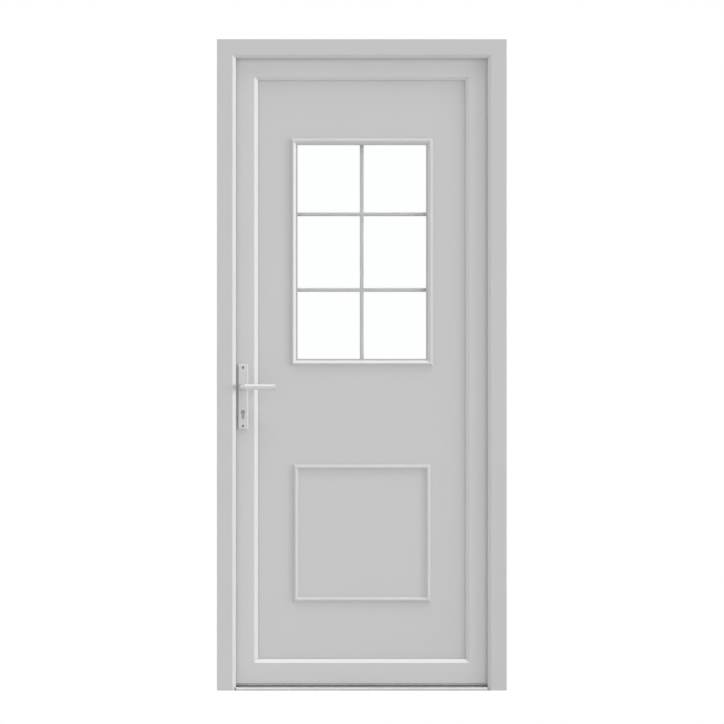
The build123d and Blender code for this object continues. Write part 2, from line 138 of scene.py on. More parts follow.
class DoorFittings(bpy.types.PropertyGroup):
    """Sizes of the small fittings that repeat."""

    screw_radius: length("Screw head radius", "Radius of a plate screw's head", 0.0034)
    screw_height: length("Screw head height", "How far a head stands out", 0.0010)
    drive_width: length("Drive width", "Width of the cross in a head", 0.0009)
    drive_depth: length("Drive depth", "Depth of the cross in a head", 0.0007)
    bristle_length: length("Bristle length", "Length of the brush under the leaf", 0.0045)
    bristle_radius: length("Bristle radius", "Radius of one bristle at its root", 0.00040)
    bristle_pitch: length("Bristle pitch", "Distance between bristles in a row", 0.0011)
    bristle_rows: IntProperty(
        name="Bristle rows", description="Rows of the brush", default=4, min=1
    )
    vent_radius: length("Vent radius", "Radius of a hole in the spacer", 0.0006)
    vent_pitch: length("Vent pitch", "Distance between holes in the spacer", 0.005)
    collar_width: length("Collar width", "Width of the ring round a lever's neck", 0.0032)
    collar_height: length("Collar height", "How far that ring stands out", 0.0024)
    plug_radius: length("Key plug radius", "Radius of the turning part of the cylinder", 0.0064)
    cap_radius: length("Hinge cap radius", "Radius of a cap on a hinge's end", 0.0085)
    cap_height: length("Hinge cap height", "How far a hinge cap stands out", 0.0016)


class DoorStudio(bpy.types.PropertyGroup):
    """Lights, floor and camera."""

    view_size: length("View size", "Width of the picture at the door", 2.423)
    view_x: length("View centre X", "Middle of the picture across", 0.0007)
    view_z: length("View centre Z", "Middle of the picture in height", 1.0995)
    side: strength("Side light", "Grazing light from the right", 1.22)
    top: strength("Top light", "Grazing light from above", 1.2)
    front: strength("Front light", "Soft light from the upper right", 0.35)
    fill: strength("Fill light", "Soft light from the left", 0.65)
    back: strength("Back light", "Soft light on the inside face", 2.1)
    ambient: strength("Ambient", "Light from all round", 0.29)
    floor: colour("Floor", "Colour of the floor", (0.86, 0.86, 0.86))
    floor_size: length("Floor size", "Side of the floor", 30.0)


# Node trees

def new_tree(name, kind, inputs, outputs):
    """A node group with named sockets, and its two end nodes."""
    tree = bpy.data.node_groups.new(name, kind)
    for label, socket in inputs:
        tree.interface.new_socket(name=label, in_out="INPUT", socket_type=socket)
    for label, socket in outputs:
        tree.interface.new_socket(name=label, in_out="OUTPUT", socket_type=socket)
    return tree, tree.nodes.new("NodeGroupInput"), tree.nodes.new("NodeGroupOutput")


def wire(tree, node, values):
    """Sets a node's sockets, by name or number, or links them where the value is a socket."""
    for key, value in values.items():
        if isinstance(value, bpy.types.NodeSocket):
            tree.links.new(value, node.inputs[key])
        else:
            node.inputs[key].default_value = value


def add(tree, kind, values=None, **settings):
    """A new node with its settings, and with its sockets set or linked."""
    node = tree.nodes.new(kind)
    for name, value in settings.items():
        setattr(node, name, value)
    wire(tree, node, values or {})
    return node


def moulded_skin_group():
    """Moulded plastic or paint: faint clouds in the colour, a fine grain in gloss and height."""
    tree, start, end = new_tree(
        "Moulded skin",
        "ShaderNodeTree",
        [
            ("Colour", "NodeSocketColor"),
            ("Cloud Scale", "NodeSocketFloat"),
            ("Cloud Depth", "NodeSocketFloat"),
            ("Grain Scale", "NodeSocketFloat"),
            ("Roughness", "NodeSocketFloat"),
            ("Roughness Spread", "NodeSocketFloat"),
        ],
        [
            ("Colour", "NodeSocketColor"),
            ("Roughness", "NodeSocketFloat"),
            ("Height", "NodeSocketFloat"),
        ],
    )
    sockets = start.outputs
    place = add(tree, "ShaderNodeTexCoord").outputs["Object"]
    clouds = add(
        tree, "ShaderNodeTexNoise",
        {"Vector": place, "Scale": sockets["Cloud Scale"], "Detail": 3.0, "Roughness": 0.5},
    ).outputs["Fac"]
    grain = add(
        tree, "ShaderNodeTexNoise",
        {"Vector": place, "Scale": sockets["Grain Scale"], "Detail": 2.0, "Roughness": 0.6},
    ).outputs["Fac"]
    offset = add(tree, "ShaderNodeMath", {0: clouds, 1: NOISE_MEAN}, operation="SUBTRACT")
    swing = add(
        tree, "ShaderNodeMath",
        {0: offset.outputs[0], 1: sockets["Cloud Depth"], 2: 1.0}, operation="MULTIPLY_ADD",
    )
    tinted = add(
        tree, "ShaderNodeVectorMath",
        {0: sockets["Colour"], "Scale": swing.outputs[0]}, operation="SCALE",
    )
    mixed = add(tree, "ShaderNodeMath", {0: clouds, 1: grain}, operation="ADD")
    centred = add(
        tree, "ShaderNodeMath", {0: mixed.outputs[0], 1: 2 * NOISE_MEAN}, operation="SUBTRACT"
    )
    rough = add(
        tree, "ShaderNodeMath",
        {0: centred.outputs[0], 1: sockets["Roughness Spread"], 2: sockets["Roughness"]},
        operation="MULTIPLY_ADD",
    )
    wire(
        tree, end,
        {"Colour": tinted.outputs["Vector"], "Roughness": rough.outputs[0], "Height": grain},
    )
    return tree


def drawn_metal_group():
    """Metal drawn or brushed along one direction: fine lines in colour, gloss and height."""
    tree, start, end = new_tree(
        "Drawn metal",
        "ShaderNodeTree",
        [
            ("Colour", "NodeSocketColor"),
            ("Line Scale", "NodeSocketVector"),
            ("Line Depth", "NodeSocketFloat"),
            ("Roughness", "NodeSocketFloat"),
            ("Roughness Spread", "NodeSocketFloat"),
        ],
        [
            ("Colour", "NodeSocketColor"),
            ("Roughness", "NodeSocketFloat"),
            ("Height", "NodeSocketFloat"),
        ],
    )
    sockets = start.outputs
    place = add(tree, "ShaderNodeTexCoord").outputs["Object"]
    stretched = add(
        tree, "ShaderNodeVectorMath", {0: place, 1: sockets["Line Scale"]}, operation="MULTIPLY"
    )
    lines = add(
        tree, "ShaderNodeTexNoise",
        {"Vector": stretched.outputs["Vector"], "Scale": 1.0, "Detail": 4.0, "Roughness": 0.65},
    ).outputs["Fac"]
    stains = add(
        tree, "ShaderNodeTexNoise", {"Vector": place, "Scale": 35.0, "Detail": 4.0}
    ).outputs["Fac"]
    both = add(tree, "ShaderNodeMath", {0: lines, 1: stains}, operation="ADD")
    centred = add(
        tree, "ShaderNodeMath", {0: both.outputs[0], 1: 2 * NOISE_MEAN}, operation="SUBTRACT"
    )
    swing = add(
        tree, "ShaderNodeMath",
        {0: centred.outputs[0], 1: sockets["Line Depth"], 2: 1.0}, operation="MULTIPLY_ADD",
    )
    tinted = add(
        tree, "ShaderNodeVectorMath",
        {0: sockets["Colour"], "Scale": swing.outputs[0]}, operation="SCALE",
    )
    rough = add(
        tree, "ShaderNodeMath",
        {0: centred.outputs[0], 1: sockets["Roughness Spread"], 2: sockets["Roughness"]},
        operation="MULTIPLY_ADD",
    )
    wire(
        tree, end,
        {"Colour": tinted.outputs["Vector"], "Roughness": rough.outputs[0], "Height": lines},
    )
    return tree


def soft_edge_group():
    """Normals rounded at the edges, and a mask that is 1 along them."""
    tree, start, end = new_tree(
        "Soft edge",
        "ShaderNodeTree",
        [("Radius", "NodeSocketFloat")],
        [("Normal", "NodeSocketVector"), ("Edge", "NodeSocketFloat")],
    )
    mask_gain = 5.0
    rounded = add(
        tree, "ShaderNodeBevel", {"Radius": start.outputs["Radius"]}, samples=4
    ).outputs["Normal"]
    flat = add(tree, "ShaderNodeNewGeometry").outputs["Normal"]
    along = add(tree, "ShaderNodeVectorMath", {0: rounded, 1: flat}, operation="DOT_PRODUCT")
    bent = add(tree, "ShaderNodeMath", {0: 1.0, 1: along.outputs["Value"]}, operation="SUBTRACT")
    mask = add(
        tree, "ShaderNodeMath",
        {0: bent.outputs[0], 1: mask_gain}, operation="MULTIPLY", use_clamp=True,
    )
    wire(tree, end, {"Normal": rounded, "Edge": mask.outputs[0]})
    return tree


def shader_group(name, make):
    """The node group of that name, made the first time it is asked for."""
    return bpy.data.node_groups.get(name) or make()


# Materials

def new_material(name):
    """An empty node material whose output takes one Principled shader."""
    material = bpy.data.materials.new(name)
    material.use_nodes = True
    tree = material.node_tree
    tree.nodes.clear()
    output = tree.nodes.new("ShaderNodeOutputMaterial")
    shader = tree.nodes.new("ShaderNodeBsdfPrincipled")
    tree.links.new(shader.outputs["BSDF"], output.inputs["Surface"])
    return material, tree, shader


def finish_surface(tree, shader, surface, edge_radius, grain_height):
    """Links a surface group's gloss and height to the shader, and softens its edges."""
    edge = add(
        tree, "ShaderNodeGroup",
        {"Radius": edge_radius}, node_tree=shader_group("Soft edge", soft_edge_group),
    )
    bump = add(
        tree, "ShaderNodeBump",
        {
            "Strength": 1.0,
            "Distance": grain_height,
            "Height": surface.outputs["Height"],
            "Normal": edge.outputs["Normal"],
        },
    )
    wire(
        tree, shader,
        {"Roughness": surface.outputs["Roughness"], "Normal": bump.outputs["Normal"]},
    )
    return edge


def moulded_material(name, tone, clouds, grain, gloss, edge_radius, constants=None):
    """A plastic, paint or rubber.

    clouds is their scale and depth in the colour, grain its scale and height in metres, and gloss
    the mean roughness and its spread. constants are set on the shader's own sockets.
    """
    material, tree, shader = new_material(name)
    surface = add(
        tree, "ShaderNodeGroup",
        {
            "Colour": (*tone, 1),
            "Cloud Scale": clouds[0],
            "Cloud Depth": clouds[1],
            "Grain Scale": grain[0],
            "Roughness": gloss[0],
            "Roughness Spread": gloss[1],
        },
        node_tree=shader_group("Moulded skin", moulded_skin_group),
    )
    finish_surface(tree, shader, surface, edge_radius, grain[1])
    wire(tree, shader, {"Base Color": surface.outputs["Colour"]})
    wire(tree, shader, constants or {})
    return material


def metal_material(name, tone, lines, gloss, edge_radius):
    """A drawn or brushed metal, a little brighter along its edges: partly edge wear, partly a painted
    highlight where edges catch light.

    lines is their scale along each axis, depth in the colour and height in metres, and gloss the
    mean roughness and its spread.
    """
    # Edge brightening is partly wear and partly a painted highlight along every edge
    edge_wear_and_sheen_tone = (0.25, 0.25, 0.25, 1)
    material, tree, shader = new_material(name)
    surface = add(
        tree, "ShaderNodeGroup",
        {
            "Colour": (*tone, 1),
            "Line Scale": lines[0],
            "Line Depth": lines[1],
            "Roughness": gloss[0],
            "Roughness Spread": gloss[1],
        },
        node_tree=shader_group("Drawn metal", drawn_metal_group),
    )
    edge = finish_surface(tree, shader, surface, edge_radius, lines[2])
    edge_wear_and_sheen = add(
        tree, "ShaderNodeMix",
        {"Factor": edge.outputs["Edge"], MIX_A: surface.outputs["Colour"], MIX_B: edge_wear_and_sheen_tone},
        data_type="RGBA", blend_type="SCREEN",
    )
    wire(tree, shader, {"Base Color": edge_wear_and_sheen.outputs[MIX_RESULT], "Metallic": 0.9})
    return material


def glass_material(name, tone):
    """Clear glass with faint smears, which lets lamp light through to what is behind it."""
    material, tree, shader = new_material(name)
    place = add(tree, "ShaderNodeTexCoord").outputs["Object"]
    smears = add(tree, "ShaderNodeTexNoise", {"Vector": place, "Scale": 9.0, "Detail": 5.0})
    gloss = add(
        tree, "ShaderNodeMapRange",
        {
            "Value": smears.outputs["Fac"],
            "From Min": 0.5,
            "From Max": 0.8,
            "To Min": 0.0,
            "To Max": 0.05,
        },
    )
    wire(
        tree, shader,
        {
            "Base Color": (*tone, 1),
            "Roughness": gloss.outputs["Result"],
            "IOR": 1.5,
            "Transmission Weight": 1.0,
        },
    )
    path = add(tree, "ShaderNodeLightPath")
    clear = add(tree, "ShaderNodeBsdfTransparent", {"Color": (*tone, 1)})
    mix = add(
        tree, "ShaderNodeMixShader",
        {0: path.outputs["Is Shadow Ray"], 1: shader.outputs["BSDF"], 2: clear.outputs["BSDF"]},
    )
    wire(tree, tree.get_output_node("ALL"), {"Surface": mix.outputs["Shader"]})
    return material


def dress(names, material):
    """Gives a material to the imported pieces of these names."""
    for name in names:
        slots = nodes[name].material_slots
        if not slots:
            raise RuntimeError(f"{name} has no material slot")
        for slot in slots:
            slot.material = material


# Meshes

def store(mesh, name, kind, field, values):
    """Keeps one value for each point of a mesh under a name."""
    mesh.attributes.new(name, kind, "POINT")
    mesh.attributes[name].data.foreach_set(field, values)


def placed_points(label, places):
    """A mesh of points for a Geometry Nodes tree. Each place is (position, facing, size)."""
    mesh = bpy.data.meshes.new(label)
    mesh.from_pydata([tuple(position) for position, facing, size in places], [], [])
    facings = [part for position, facing, size in places for part in facing]
    store(mesh, "facing", "FLOAT_VECTOR", "vector", facings)
    store(mesh, "size", "FLOAT", "value", [size for position, facing, size in places])
    return mesh


def placed_lines(label, lines):
    """A mesh of separate straight lines. Each line is (start, end, facing)."""
    mesh = bpy.data.meshes.new(label)
    points = [tuple(point) for start, end, facing in lines for point in (start, end)]
    mesh.from_pydata(points, [(2 * i, 2 * i + 1) for i in range(len(lines))], [])
    facings = [part for start, end, facing in lines for part in (*facing, *facing)]
    store(mesh, "facing", "FLOAT_VECTOR", "vector", facings)
    return mesh


def grow(label, mesh, tree, inputs, body):
    """Runs a Geometry Nodes tree on a mesh and keeps its result as one plain piece on a body."""
    seed = bpy.data.objects.new(f"{label}_seed", mesh)
    bpy.context.scene.collection.objects.link(seed)
    modifier = seed.modifiers.new("Grow", "NODES")
    modifier.node_group = tree
    for item in tree.interface.items_tree:
        if item.in_out == "INPUT" and item.name in inputs:
            modifier[item.identifier] = inputs[item.name]
    ready = seed.evaluated_get(bpy.context.evaluated_depsgraph_get())
    grown = bpy.data.meshes.new_from_object(ready)
    if not grown.polygons:
        raise RuntimeError(f"{label} came out empty")
    seed.modifiers.remove(modifier)
    bpy.data.objects.remove(seed)
    grown.name = label
    place_piece(label, grown, body)


def place_piece(label, mesh, body, material=None):
    """A finished mesh as a piece that rides on a body and takes its finish from a slot."""
    piece = bpy.data.objects.new(label, mesh)
    bpy.context.scene.collection.objects.link(piece)
    if material is not None:
        mesh.materials.append(material)
    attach(piece, body)


def ring_mesh(label, rings, steps=48):
    """One smooth mesh of closed rings. Each ring is (profile, centre, axis).

    A profile is (radius, height) points that go up, outward and down again, and its last point
    joins its first. The order of points and faces is the same in each run.
    """
    points = []
    faces = []
    for profile, centre, axis in rings:
        first = len(points)
        count = len(profile)
        side = axis.orthogonal().normalized()
        for step in range(steps):
            out = Matrix.Rotation(2 * math.pi * step / steps, 3, axis) @ side
            points += [centre + out * radius + axis * height for radius, height in profile]
            here = first + step * count
            there = first + (step + 1) % steps * count
            for corner in range(count):
                after = (corner + 1) % count
                faces.append((here + corner, here + after, there + after, there + corner))
    mesh = bpy.data.meshes.new(label)
    mesh.from_pydata(points, [], faces)
    mesh.shade_smooth()
    return mesh


def joint_place(name):
    """Where the axis of a joint lies."""
    return Vector(next(joint["pos_m"] for joint in frame["joints"] if joint["name"] == name))


# Geometry Nodes trees

def end_tree(tree, end, geometry, material_socket):
    """Realizes a tree's instances and gives them their material."""
    real = add(tree, "GeometryNodeRealizeInstances", {"Geometry": geometry})
    finished = add(
        tree, "GeometryNodeSetMaterial",
        {"Geometry": real.outputs["Geometry"], "Material": material_socket},
    )
    wire(tree, end, {"Geometry": finished.outputs["Geometry"]})


def facing_rotation(tree):
    """A rotation that turns +Z to the facing attribute."""
    facing = add(
        tree, "GeometryNodeInputNamedAttribute", {"Name": "facing"}, data_type="FLOAT_VECTOR"
    )
    turn = add(
        tree, "FunctionNodeAlignRotationToVector",
        {"Vector": facing.outputs["Attribute"]}, axis="Z",
    )
    return turn.outputs["Rotation"]


def times(tree, socket, share):
    """A share of the value of a socket."""
    return add(tree, "ShaderNodeMath", {0: socket, 1: share}, operation="MULTIPLY").outputs[0]


def spread_points(tree, sockets):
    """Points along the lines of the incoming mesh, one for each pitch."""
    curve = add(tree, "GeometryNodeMeshToCurve", {"Mesh": sockets["Geometry"]})
    spread = add(
        tree, "GeometryNodeResampleCurve",
        {"Curve": curve.outputs["Curve"], "Length": sockets["Pitch"]}, mode="LENGTH",
    )
    return spread.outputs["Curve"]


def driven_head_tree():
    """Low screw heads with a cross, or caps with a hexagon, one on each point."""
    tree, start, end = new_tree(
        "Driven head",
        "GeometryNodeTree",
        [
            ("Geometry", "NodeSocketGeometry"),
            ("Head Radius", "NodeSocketFloat"),
            ("Crown Radius", "NodeSocketFloat"),
            ("Head Height", "NodeSocketFloat"),
            ("Drive Width", "NodeSocketFloat"),
            ("Drive Depth", "NodeSocketFloat"),
            ("Hexagon", "NodeSocketBool"),
            ("Material", "NodeSocketMaterial"),
        ],
        [("Geometry", "NodeSocketGeometry")],
    )
    # The drive is centred on the top of the head, so it is made twice as deep as it cuts
    reach_share = 1.3
    both_halves = 2.0
    sockets = start.outputs
    width = sockets["Drive Width"]
    head = add(
        tree, "GeometryNodeMeshCone",
        {
            "Vertices": 24,
            "Side Segments": 1,
            "Radius Top": sockets["Crown Radius"],
            "Radius Bottom": sockets["Head Radius"],
            "Depth": sockets["Head Height"],
        },
    )
    reach = times(tree, sockets["Crown Radius"], reach_share)
    deep = times(tree, sockets["Drive Depth"], both_halves)
    along = add(tree, "ShaderNodeCombineXYZ", {0: reach, 1: width, 2: deep})
    across = add(tree, "ShaderNodeCombineXYZ", {0: width, 1: reach, 2: deep})
    blade = add(tree, "GeometryNodeMeshCube", {"Size": along.outputs[0]})
    cross_blade = add(tree, "GeometryNodeMeshCube", {"Size": across.outputs[0]})
    cross = add(tree, "GeometryNodeMeshBoolean", operation="UNION")
    for part in (blade, cross_blade):
        wire(tree, cross, {"Mesh 2": part.outputs["Mesh"]})
    hexagon = add(
        tree, "GeometryNodeMeshCylinder", {"Vertices": 6, "Radius": width, "Depth": deep}
    )
    drive = add(
        tree, "GeometryNodeSwitch",
        {
            "Switch": sockets["Hexagon"],
            "False": cross.outputs["Mesh"],
            "True": hexagon.outputs["Mesh"],
        },
        input_type="GEOMETRY",
    )
    raised = add(tree, "ShaderNodeCombineXYZ", {2: sockets["Head Height"]})
    lifted = add(
        tree, "GeometryNodeTransform",
        {"Geometry": drive.outputs["Output"], "Translation": raised.outputs[0]},
    )
    cut = add(
        tree, "GeometryNodeMeshBoolean",
        {"Mesh 1": head.outputs["Mesh"], "Mesh 2": lifted.outputs["Geometry"]},
        operation="DIFFERENCE",
    )
    size = add(tree, "GeometryNodeInputNamedAttribute", {"Name": "size"}, data_type="FLOAT")
    heads = add(
        tree, "GeometryNodeInstanceOnPoints",
        {
            "Points": sockets["Geometry"],
            "Instance": cut.outputs["Mesh"],
            "Rotation": facing_rotation(tree),
            "Scale": size.outputs["Attribute"],
        },
    )
    end_tree(tree, end, heads.outputs["Instances"], sockets["Material"])
    return tree


def bristle_tree():
    """Bristles along straight lines, each with its own lean and length."""
    tree, start, end = new_tree(
        "Bristles",
        "GeometryNodeTree",
        [
            ("Geometry", "NodeSocketGeometry"),
            ("Length", "NodeSocketFloat"),
            ("Radius", "NodeSocketFloat"),
            ("Pitch", "NodeSocketFloat"),
            ("Seed", "NodeSocketInt"),
            ("Material", "NodeSocketMaterial"),
        ],
        [("Geometry", "NodeSocketGeometry")],
    )
    tip_share = 0.7
    most_lean = 0.22
    most_turn = 6.0
    shortest = 0.86
    sockets = start.outputs
    bristle = add(
        tree, "GeometryNodeMeshCone",
        {
            "Vertices": 5,
            "Side Segments": 1,
            "Radius Top": times(tree, sockets["Radius"], tip_share),
            "Radius Bottom": sockets["Radius"],
            "Depth": sockets["Length"],
        },
    )
    lean = add(
        tree, "FunctionNodeRandomValue",
        {
            "Min": (-most_lean, -most_lean, 0.0),
            "Max": (most_lean, most_lean, most_turn),
            "Seed": sockets["Seed"],
        },
        data_type="FLOAT_VECTOR",
    )
    trim = add(
        tree, "FunctionNodeRandomValue",
        {RANDOM_MIN: shortest, RANDOM_MAX: 1.0, "Seed": sockets["Seed"]}, data_type="FLOAT",
    )
    scale = add(tree, "ShaderNodeCombineXYZ", {0: 1.0, 1: 1.0, 2: trim.outputs[RANDOM_RESULT]})
    hung = add(
        tree, "FunctionNodeRotateRotation",
        {"Rotation": facing_rotation(tree), "Rotate By": lean.outputs[0]}, rotation_space="LOCAL",
    )
    tufts = add(
        tree, "GeometryNodeInstanceOnPoints",
        {
            "Points": spread_points(tree, sockets),
            "Instance": bristle.outputs["Mesh"],
            "Rotation": hung.outputs["Rotation"],
            "Scale": scale.outputs[0],
        },
    )
    end_tree(tree, end, tufts.outputs["Instances"], sockets["Material"])
    return tree


def vent_tree():
    """Small round holes along straight lines, shown as thin near-black lenses that are painted shade
    in place of the dark inside of a hole.
    """
    tree, start, end = new_tree(
        "Vents",
        "GeometryNodeTree",
        [
            ("Geometry", "NodeSocketGeometry"),
            ("Radius", "NodeSocketFloat"),
            ("Pitch", "NodeSocketFloat"),
            ("Material", "NodeSocketMaterial"),
        ],
        [("Geometry", "NodeSocketGeometry")],
    )
    rim_share = 0.8
    depth_share = 0.25
    sockets = start.outputs
    vent_shade = add(
        tree, "GeometryNodeMeshCone",
        {
            "Vertices": 8,
            "Side Segments": 1,
            "Radius Top": times(tree, sockets["Radius"], rim_share),
            "Radius Bottom": sockets["Radius"],
            "Depth": times(tree, sockets["Radius"], depth_share),
        },
    )
    vents = add(
        tree, "GeometryNodeInstanceOnPoints",
        {
            "Points": spread_points(tree, sockets),
            "Instance": vent_shade.outputs["Mesh"],
            "Rotation": facing_rotation(tree),
        },
    )
    end_tree(tree, end, vents.outputs["Instances"], sockets["Material"])
    return tree


# Operators

class DOOR_OT_plastic(bpy.types.Operator):
    """Finishes the PVC profiles, the panel skin and the rubber."""

    bl_idname = "door.plastic"
    bl_label = "Plastic and rubber"

    def execute(self, context):
        look = context.scene.door_finishes
        profiles = (
            ("frame_pvc", look.frame_pvc, FRAME_PIECES),
            ("leaf_pvc", look.leaf_pvc, LEAF_PIECES),
        )
        for name, tone, pieces in profiles:
            pvc = moulded_material(
                name, tone, clouds=(2.5, 0.05), grain=(900.0, 0.000012), gloss=(0.32, 0.10),
                edge_radius=look.edge_radius, constants={"IOR": 1.53},
            )
            dress(pieces, pvc)
        skin = moulded_material(
            "panel_skin", look.skin, clouds=(1.6, 0.04), grain=(500.0, 0.000010),
            gloss=(0.30, 0.08), edge_radius=look.edge_radius, constants={"IOR": 1.50},
        )
        dress(SKIN_PIECES, skin)
        rubber = moulded_material(
            "gasket_rubber", look.rubber, clouds=(60.0, 0.25), grain=(1500.0, 0.00004),
            gloss=(0.72, 0.20), edge_radius=look.edge_radius,
        )
        dress(RUBBER_PIECES, rubber)
        return {"FINISHED"}


class DOOR_OT_glazing(bpy.types.Operator):
    """Finishes the panes, the bars and the spacer, and adds the spacer's vents."""

    bl_idname = "door.glazing"
    bl_label = "Glazing"

    # Where the two rows of vents lie in the spacer's width
    row_shares = (0.4, 0.6)

    def vent_lines(self):
        """Two rows of vents on each side of the spacer, facing the field of the glass."""
        outer, inner = (corner.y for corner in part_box("glass_spacer"))
        low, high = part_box("glazing_bars")
        lines = []
        for share in self.row_shares:
            y = outer + share * (inner - outer)
            for x, facing in ((low.x, RIGHT), (high.x, LEFT)):
                lines.append((Vector((x, y, low.z)), Vector((x, y, high.z)), facing))
            for z, facing in ((low.z, UP), (high.z, DOWN)):
                lines.append((Vector((low.x, y, z)), Vector((high.x, y, z)), facing))
        return placed_lines("vent_lines", lines)

    def execute(self, context):
        look = context.scene.door_finishes
        sizes = context.scene.door_fittings
        dress(("outer_pane", "inner_pane"), glass_material("clear_glass", look.glass))
        bars = moulded_material(
            "bar_paint", look.bars, clouds=(12.0, 0.06), grain=(1200.0, 0.000012),
            gloss=(0.58, 0.10), edge_radius=look.edge_radius,
        )
        dress(("glazing_bars",), bars)
        spacer = metal_material(
            "spacer_metal", look.spacer, lines=((40.0, 2500.0, 40.0), 0.25, 0.00001),
            gloss=(0.38, 0.2), edge_radius=look.edge_radius,
        )
        dress(("glass_spacer",), spacer)
        # Painted shade: the vent lenses get a near-black finish in place of the shade inside the
        # holes
        dark = moulded_material(
            "vent_shadow", look.vent_shade, clouds=(400.0, 0.3), grain=(2000.0, 0.00001),
            gloss=(0.9, 0.1), edge_radius=look.fine_edge,
        )
        inputs = {"Radius": sizes.vent_radius, "Pitch": sizes.vent_pitch, "Material": dark}
        grow("spacer_vents", self.vent_lines(), vent_tree(), inputs, "leaf")
        return {"FINISHED"}


class DOOR_OT_hardware(bpy.types.Operator):
    """Finishes the levers, plates, hinges, lock parts and threshold."""

    bl_idname = "door.hardware"
    bl_label = "Hardware finishes"

    def execute(self, context):
        look = context.scene.door_finishes
        lacquer = moulded_material(
            "handle_lacquer", look.lacquer, clouds=(20.0, 0.05), grain=(700.0, 0.00001),
            gloss=(0.30, 0.10), edge_radius=look.edge_radius,
            constants={"Coat Weight": 0.8, "Coat Roughness": 0.20},
        )
        dress(HANDLE_PIECES + HINGE_PIECES, lacquer)
        steel = metal_material(
            "zinc_steel", look.steel, lines=((900.0, 900.0, 12.0), 0.3, 0.000012),
            gloss=(0.36, 0.2), edge_radius=look.edge_radius,
        )
        dress(STRIKE_PLATES + LOCK_PIECES, steel)
        nickel = metal_material(
            "nickel", look.nickel, lines=((700.0, 30.0, 700.0), 0.3, 0.00001),
            gloss=(0.30, 0.15), edge_radius=look.edge_radius,
        )
        dress(("lock_cylinder",), nickel)
        aluminium = metal_material(
            "aluminium", look.aluminium, lines=((8.0, 1100.0, 1100.0), 0.22, 0.000015),
            gloss=(0.52, 0.2), edge_radius=look.edge_radius,
        )
        dress(("threshold",), aluminium)
        return {"FINISHED"}


class DOOR_OT_screws(bpy.types.Operator):
    """Adds the screws of the strikes, hinges, handle plates, faceplate and threshold."""

    bl_idname = "door.screws"
    bl_label = "Screws"

    # Where the screws sit on what they hold
    strike_inset = 0.012
    plate_inset = 0.0125
    well_depth = 0.004
    hinge_inset = 0.014
    hinge_plate = 0.005
    faceplate_heights = (0.27, 0.56, 0.78, 0.975, 1.25, 1.50, 1.78)
    threshold_shares = (0.1, 0.5, 0.9)
    threshold_inset = 0.0105
    threshold_back_height = 0.013

    # Columns of hinge screws, from the left and from the right edge of a hinge half
    frame_hinge_columns = ((0.004,), (0.004,))
    leaf_hinge_columns = ((0.010, 0.036), ())

    # Sizes of the heads, as shares of a plate screw's, and of the flat on top of one
    frame_hinge_size = 0.9
    leaf_hinge_size = 1.1
    threshold_size = 1.2
    crown_share = 0.8

    def hinge_places(self, stands_on, half, columns, size):
        """Screws of the hinge plates that stand on a frame or leaf member."""
        from_left, from_right = columns
        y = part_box(stands_on)[1].y + self.hinge_plate
        places = []
        for place in HINGES:
            low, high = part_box(f"{place}_hinge_{half}_half")
            across = [low.x + inset for inset in from_left]
            across += [high.x - inset for inset in from_right]
            for x in across:
                for z in (low.z + self.hinge_inset, high.z - self.hinge_inset):
                    places.append((Vector((x, y, z)), INSIDE, size))
        return places

    def frame_places(self):
        """Screws in the fixed frame."""
        places = []
        for name in STRIKE_PLATES:
            low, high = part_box(name)
            y = (low.y + high.y) / 2
            for z in (low.z + self.strike_inset, high.z - self.strike_inset):
                places.append((Vector((high.x, y, z)), RIGHT, 1.0))
        places += self.hinge_places(
            "right_jamb", "frame", self.frame_hinge_columns, self.frame_hinge_size
        )
        low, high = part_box("threshold")
        for share in self.threshold_shares:
            x = low.x + share * (high.x - low.x)
            spot = Vector((x, high.y - self.threshold_inset, self.threshold_back_height))
            places.append((spot, UP, self.threshold_size))
        return places

    def leaf_places(self):
        """Screws in the leaf."""
        places = []
        for name, facing in HANDLE_FACES:
            low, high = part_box(name)
            x = (low.x + high.x) / 2
            y = low.y + self.well_depth if facing is OUTSIDE else high.y - self.well_depth
            for z in (low.z + self.plate_inset, high.z - self.plate_inset):
                places.append((Vector((x, y, z)), facing, 1.0))
        places += self.hinge_places(
            "hinge_stile", "leaf", self.leaf_hinge_columns, self.leaf_hinge_size
        )
        low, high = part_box("lock_faceplate")
        for z in self.faceplate_heights:
            places.append((Vector((low.x, (low.y + high.y) / 2, z)), LEFT, 1.0))
        return places

    def execute(self, context):
        look = context.scene.door_finishes
        sizes = context.scene.door_fittings
        # The dark screw steel is partly painted shade, standing in for the shade of the screw wells
        steel = metal_material(
            "screw_steel", look.screw, lines=((800.0, 800.0, 800.0), 0.4, 0.00001),
            gloss=(0.42, 0.2), edge_radius=look.screw_edge,
        )
        tree = driven_head_tree()
        inputs = {
            "Head Radius": sizes.screw_radius,
            "Crown Radius": self.crown_share * sizes.screw_radius,
            "Head Height": sizes.screw_height,
            "Drive Width": sizes.drive_width,
            "Drive Depth": sizes.drive_depth,
            "Hexagon": False,
            "Material": steel,
        }
        for body, places in (("frame", self.frame_places()), ("leaf", self.leaf_places())):
            points = placed_points(f"{body}_screw_points", places)
            grow(f"{body}_screws", points, tree, inputs, body)
        return {"FINISHED"}


